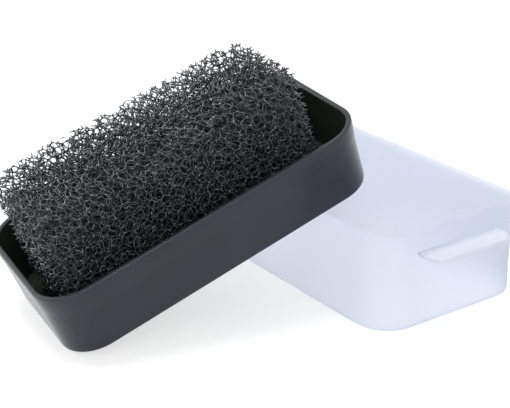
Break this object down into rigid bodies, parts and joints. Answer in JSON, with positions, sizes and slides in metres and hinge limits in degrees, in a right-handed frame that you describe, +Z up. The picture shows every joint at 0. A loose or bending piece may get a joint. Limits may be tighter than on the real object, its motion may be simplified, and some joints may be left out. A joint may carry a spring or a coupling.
{
  "type": "foam block tray with cover",
  "caption": "Coarse open-cell foam block in a rounded black plastic tray that leans on its taken-off milky cover; the foam lifts out of the tray and the tray lifts off the cover.",
  "frame": {"origin": "on the table, under the middle of the whole arrangement's box", "axes": "+Z up; +Y along the cover; +X across the cover, which is the way that the leaning tray rises; the cover's finger tab points to -Y"},
  "size_m": [0.1354, 0.1102, 0.0691],
  "materials": {
    "cover_plastic": "milky translucent polypropylene, soft gloss",
    "tray_plastic": "black moulded plastic, satin with a gloss at grazing angles",
    "foam": "charcoal open-cell foam, matt struts with a faint sheen"
  },
  "bodies": {
    "cover": {"cover": "cover_plastic"},
    "tray": {"tray": "tray_plastic"},
    "foam": {"foam_block": "foam"}
  },
  "joints": [
    {"name": "tray_lift", "type": "slide", "parent": "cover", "child": "tray", "axis": [-0.3704, 0, 0.9289], "range_m": [0, 0.06]},
    {"name": "foam_lift", "type": "slide", "parent": "tray", "child": "foam", "axis": [-0.3704, 0, 0.9289], "range_m": [0, 0.045]}
  ]
}
